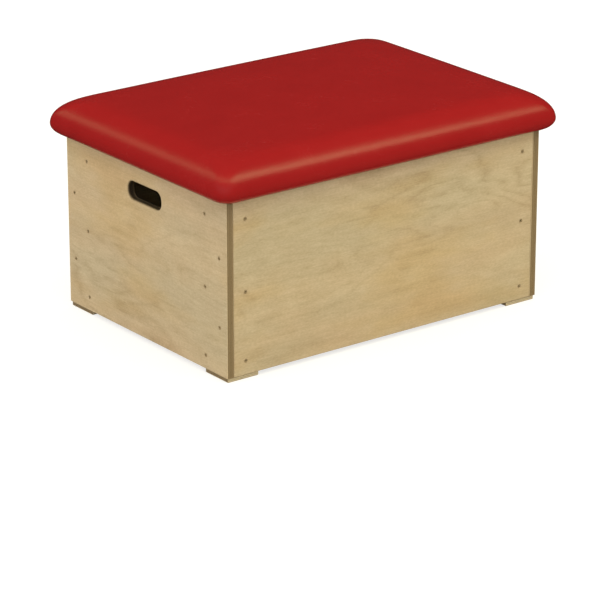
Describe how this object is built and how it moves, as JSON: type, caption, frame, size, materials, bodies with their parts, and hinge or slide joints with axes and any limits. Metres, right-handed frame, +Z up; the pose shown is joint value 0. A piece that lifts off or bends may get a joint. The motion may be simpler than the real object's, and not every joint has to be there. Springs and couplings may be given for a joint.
{
  "type": "vaulting box",
  "caption": "Low gymnastics vaulting box: a rectangular plywood carcass on corner feet, with hand holes in both ends and a thick upholstered top that overhangs all round.",
  "frame": {"origin": "on the floor under the middle of the box, at the bottom centre of the bounding box", "axes": "+X along the length, through both end panels; +Y across the width, towards the back panel; +Z up"},
  "size_m": [1.084, 0.784, 0.5756],
  "materials": {
    "birch_ply": "clear satin lacquer, dark laminated edges",
    "softwood": "planed, unfinished",
    "foot_wood": "plywood plate, lacquered",
    "board_ply": "plain plywood, unfinished",
    "pad_foam": "firm upholstery foam, hidden",
    "red_vinyl": "smooth semi-gloss coated fabric, hidden hem stapled under the board",
    "zinc_screw": "bright zinc"
  },
  "bodies": {
    "root": {"end_panel_left": "birch_ply", "end_panel_right": "birch_ply", "side_panel_front": "birch_ply", "side_panel_back": "birch_ply", "corner_post_left_front": "softwood", "corner_post_left_back": "softwood", "corner_post_right_front": "softwood", "corner_post_right_back": "softwood", "corner_foot_left_front": "foot_wood", "corner_foot_left_back": "foot_wood", "corner_foot_right_front": "foot_wood", "corner_foot_right_back": "foot_wood", "top_rail_front": "softwood", "top_rail_back": "softwood", "top_rail_left": "softwood", "top_rail_right": "softwood", "centre_bearer": "softwood", "top_board": "board_ply", "foam_core": "pad_foam", "vinyl_cover": "red_vinyl", "end_screw_left_front_1": "zinc_screw", "end_screw_left_front_2": "zinc_screw", "end_screw_left_front_3": "zinc_screw", "end_screw_left_front_4": "zinc_screw", "end_screw_left_front_5": "zinc_screw", "side_screw_left_front_1": "zinc_screw", "side_screw_left_front_2": "zinc_screw", "side_screw_left_front_3": "zinc_screw", "end_screw_left_back_1": "zinc_screw", "end_screw_left_back_2": "zinc_screw", "end_screw_left_back_3": "zinc_screw", "end_screw_left_back_4": "zinc_screw", "end_screw_left_back_5": "zinc_screw", "side_screw_left_back_1": "zinc_screw", "side_screw_left_back_2": "zinc_screw", "side_screw_left_back_3": "zinc_screw", "end_screw_right_front_1": "zinc_screw", "end_screw_right_front_2": "zinc_screw", "end_screw_right_front_3": "zinc_screw", "end_screw_right_front_4": "zinc_screw", "end_screw_right_front_5": "zinc_screw", "side_screw_right_front_1": "zinc_screw", "side_screw_right_front_2": "zinc_screw", "side_screw_right_front_3": "zinc_screw", "end_screw_right_back_1": "zinc_screw", "end_screw_right_back_2": "zinc_screw", "end_screw_right_back_3": "zinc_screw", "end_screw_right_back_4": "zinc_screw", "end_screw_right_back_5": "zinc_screw", "side_screw_right_back_1": "zinc_screw", "side_screw_right_back_2": "zinc_screw", "side_screw_right_back_3": "zinc_screw"}
  },
  "joints": []
}
